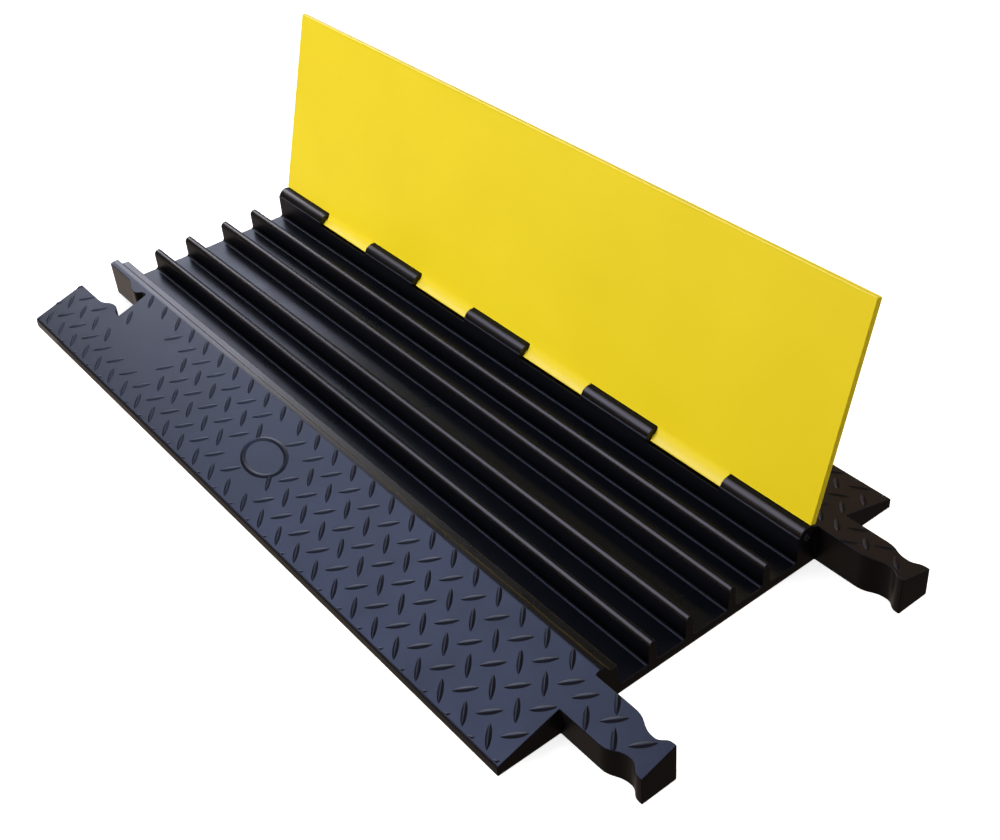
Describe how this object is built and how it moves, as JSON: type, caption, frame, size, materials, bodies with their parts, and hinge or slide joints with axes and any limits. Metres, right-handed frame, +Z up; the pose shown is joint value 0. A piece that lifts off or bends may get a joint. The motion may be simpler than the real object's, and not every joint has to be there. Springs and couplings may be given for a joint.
{
  "type": "cable ramp",
  "caption": "Heavy rubber floor ramp with parallel cable channels, interlocking dog-bone ends and a full-length hinged lid, stored with the lid standing open.",
  "frame": {"origin": "middle of the module's flat underside, halfway between its two end faces and its two toes; the plugs at +X are left out of the halving", "axes": "+X along the channels, from the socket end to the plug end; +Y from the front ramp to the hinge; +Z up"},
  "size_m": [0.9965, 0.48, 0.2628],
  "materials": {
    "base_rubber": "moulded blue-black rubber with a fine grain, tread on the ramps",
    "lid_yellow": "smooth moulded safety yellow, satin",
    "rod_steel": "plain drawn rod"
  },
  "bodies": {
    "base": {"base": "base_rubber", "hinge_rod": "rod_steel"},
    "lid": {"lid": "lid_yellow"}
  },
  "joints": [
    {"name": "lid_hinge", "type": "hinge", "parent": "base", "child": "lid", "pos_m": [0, 0.121, 0.0356], "axis": [1, 0, 0], "range_deg": [0, 106]}
  ]
}
